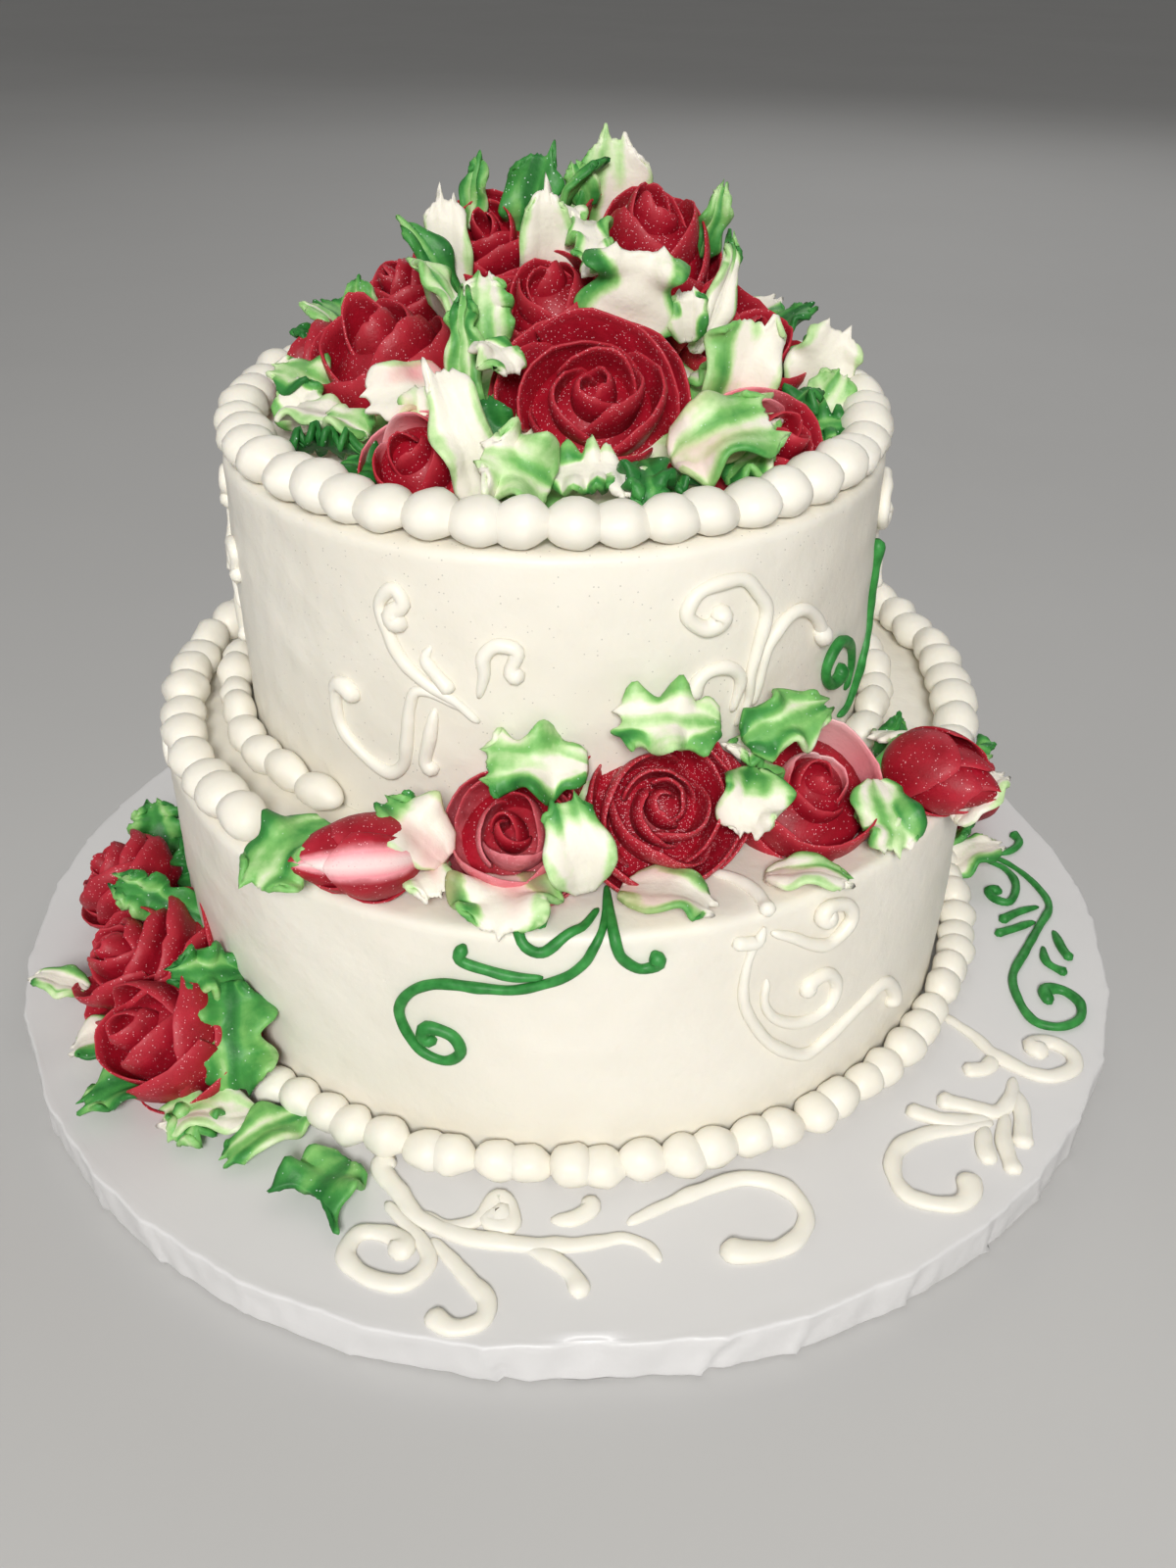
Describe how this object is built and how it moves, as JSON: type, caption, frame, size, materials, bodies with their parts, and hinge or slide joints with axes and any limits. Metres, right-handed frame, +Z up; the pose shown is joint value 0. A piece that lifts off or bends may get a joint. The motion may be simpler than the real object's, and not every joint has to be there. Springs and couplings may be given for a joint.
{
  "type": "tiered wedding cake",
  "caption": "Two-tier iced wedding cake on its covered cake drum, with piped bead borders, scrollwork, red icing roses and green and white icing leaves.",
  "frame": {"origin": "middle of the drum's underside, on the table", "axes": "+Z up; the viewer stands on the -Y side, +X to the viewer's right"},
  "size_m": [0.3042, 0.3048, 0.2127],
  "materials": {
    "icing": "ivory buttercream, smoothed, soft satin",
    "drum": "white paper-backed foil wrapped over a board, pleated at its edge",
    "roses": "deep red icing with paler pink streaks and fine edible glitter",
    "leaves": "icing, green running into white"
  },
  "bodies": {
    "root": {"board": "drum", "lower_tier": "icing", "upper_tier": "icing", "upper_top_border": "icing", "upper_base_border": "icing", "lower_top_border": "icing", "lower_base_border_front": "icing", "lower_base_border_back": "icing", "rose_front": "roses", "rose_crown": "roses", "rose_crown_left": "roses", "rose_middle": "roses", "rose_left": "roses", "rose_left_back": "roses", "rose_far_left": "roses", "rose_right": "roses", "rose_low_left": "roses", "rose_low_right": "roses", "rose_back_right": "roses", "rose_back_left": "roses", "bud_ledge_left": "roses", "rose_ledge_left": "roses", "rose_ledge_middle": "roses", "rose_ledge_right": "roses", "bud_ledge_right": "roses", "rose_board_left_front": "roses", "rose_board_left": "roses", "rose_board_left_back": "roses", "rose_board_right": "roses", "rose_board_right_back": "roses", "leaf_crown_back": "leaves", "leaf_crown_left": "leaves", "leaf_crown_middle": "leaves", "leaf_left_tall": "leaves", "leaf_left_twisted": "leaves", "leaf_left_ribbon": "leaves", "leaf_above_front": "leaves", "leaf_right_twisted": "leaves", "leaf_right_broad": "leaves", "leaf_right_edge": "leaves", "leaf_low_right": "leaves", "leaf_low_left": "leaves", "leaf_pink_left": "leaves", "leaf_far_left": "leaves", "leaf_front_ruffled": "leaves", "leaf_ledge_far_left": "leaves", "leaf_ledge_bud": "leaves", "leaf_ledge_behind_left": "leaves", "leaf_ledge_left_middle": "leaves", "leaf_ledge_front_left": "leaves", "leaf_ledge_behind_middle": "leaves", "leaf_ledge_behind_right": "leaves", "leaf_ledge_right_middle": "leaves", "leaf_ledge_front_middle": "leaves", "leaf_ledge_right": "leaves", "leaf_board_left_upper": "leaves", "leaf_board_left_wall": "leaves", "leaf_board_left_front": "leaves", "leaf_board_front_left": "leaves", "leaf_board_front": "leaves"}
  },
  "joints": []
}
